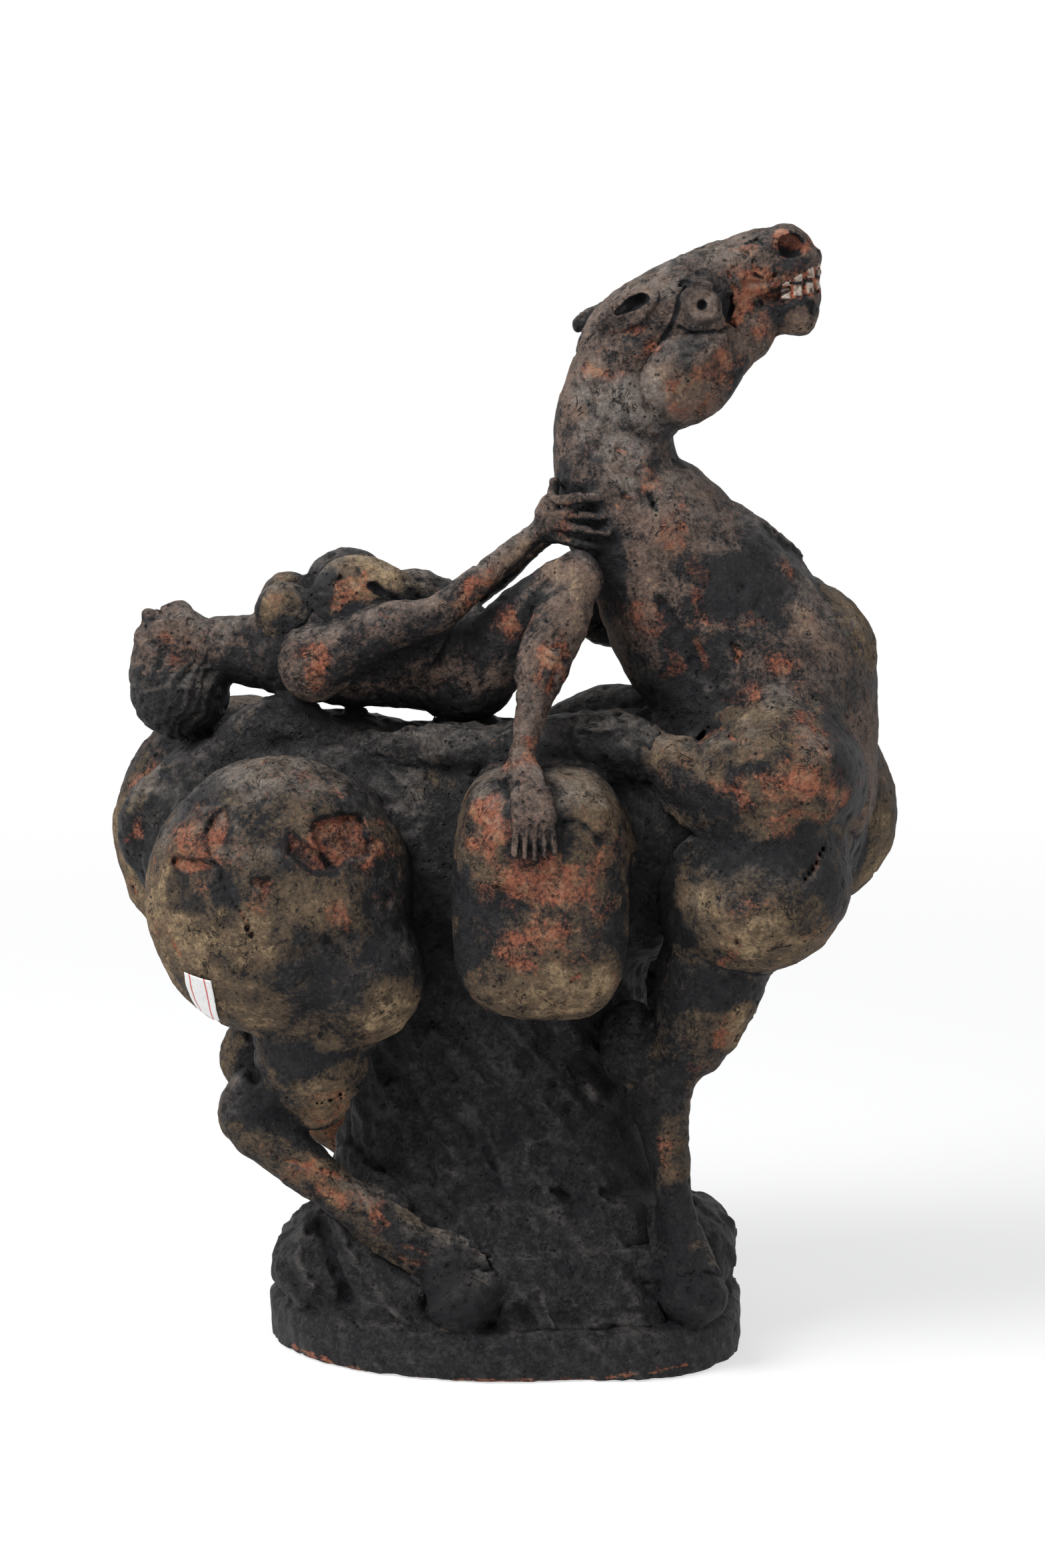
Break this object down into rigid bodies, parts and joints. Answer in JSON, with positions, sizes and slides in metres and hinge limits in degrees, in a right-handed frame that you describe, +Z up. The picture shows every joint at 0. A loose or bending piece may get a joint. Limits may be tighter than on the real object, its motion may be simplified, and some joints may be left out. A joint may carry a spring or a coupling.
{
  "type": "terracotta horse and rider sculpture",
  "caption": "Fired clay horse with swollen rounded lumps for haunches, flanks and shoulders, head raised and teeth bared, a rider lying back along its back, on an oval hollow stand",
  "frame": {"origin": "centre of the oval stand's underside, on the surface it stands on", "axes": "+Z up, +X towards the horse's head, -Y the near side with the rider's raised knee and visible arm"},
  "size_m": [0.3015, 0.1664, 0.4183],
  "materials": {
    "black_wash": "matt fired clay under a charcoal black wash",
    "worn_ochre": "matt fired clay, wash rubbed back to ochre on the high spots",
    "red_clay": "matt brick-red fired clay, torn and pitted, wash in the hollows",
    "rider_clay": "matt pinkish-brown fired clay with grey wash",
    "tooth_slip": "off-white slip, half matt",
    "eye_clay": "dark matt fired clay"
  },
  "bodies": {
    "root": {"base_slab": "black_wash", "ground_mound": "black_wash", "support_pillar": "black_wash", "trunk": "black_wash", "neck_base": "worn_ochre", "chest_lobe": "worn_ochre", "tail": "black_wash", "near_haunch": "red_clay", "near_flank": "red_clay", "far_haunch": "red_clay", "far_flank": "red_clay", "near_stifle": "worn_ochre", "near_elbow": "black_wash", "near_shoulder_upper": "red_clay", "near_shoulder_lower": "worn_ochre", "far_shoulder_upper": "worn_ochre", "far_shoulder_lower": "worn_ochre", "near_saddle_roll": "black_wash", "far_saddle_roll": "black_wash", "neck": "worn_ochre", "skull": "black_wash", "lower_jaw": "red_clay", "upper_teeth": "tooth_slip", "lower_teeth": "tooth_slip", "near_cheek": "red_clay", "near_eye": "eye_clay", "near_ear": "black_wash", "far_cheek": "red_clay", "far_eye": "eye_clay", "far_ear": "black_wash", "near_gaskin": "red_clay", "near_hind_cannon": "red_clay", "near_hind_hoof": "black_wash", "near_forearm": "worn_ochre", "near_fore_cannon": "black_wash", "near_fore_hoof": "black_wash", "far_gaskin": "red_clay", "far_hind_cannon": "red_clay", "far_hind_hoof": "black_wash", "far_forearm": "worn_ochre", "far_fore_cannon": "black_wash", "far_fore_hoof": "black_wash", "rider_torso": "black_wash", "rider_pelvis": "rider_clay", "rider_head": "rider_clay", "rider_hair": "black_wash", "rider_near_bosom": "rider_clay", "rider_near_ribs": "rider_clay", "rider_far_bosom": "rider_clay", "rider_far_ribs": "rider_clay", "rider_near_arm": "rider_clay", "rider_near_hand": "rider_clay", "rider_far_arm": "rider_clay", "rider_far_hand": "rider_clay", "rider_near_thigh": "rider_clay", "rider_near_shin": "rider_clay", "rider_near_foot": "rider_clay", "rider_far_thigh": "rider_clay", "rider_far_shin": "rider_clay", "rider_far_foot": "rider_clay"}
  },
  "joints": []
}
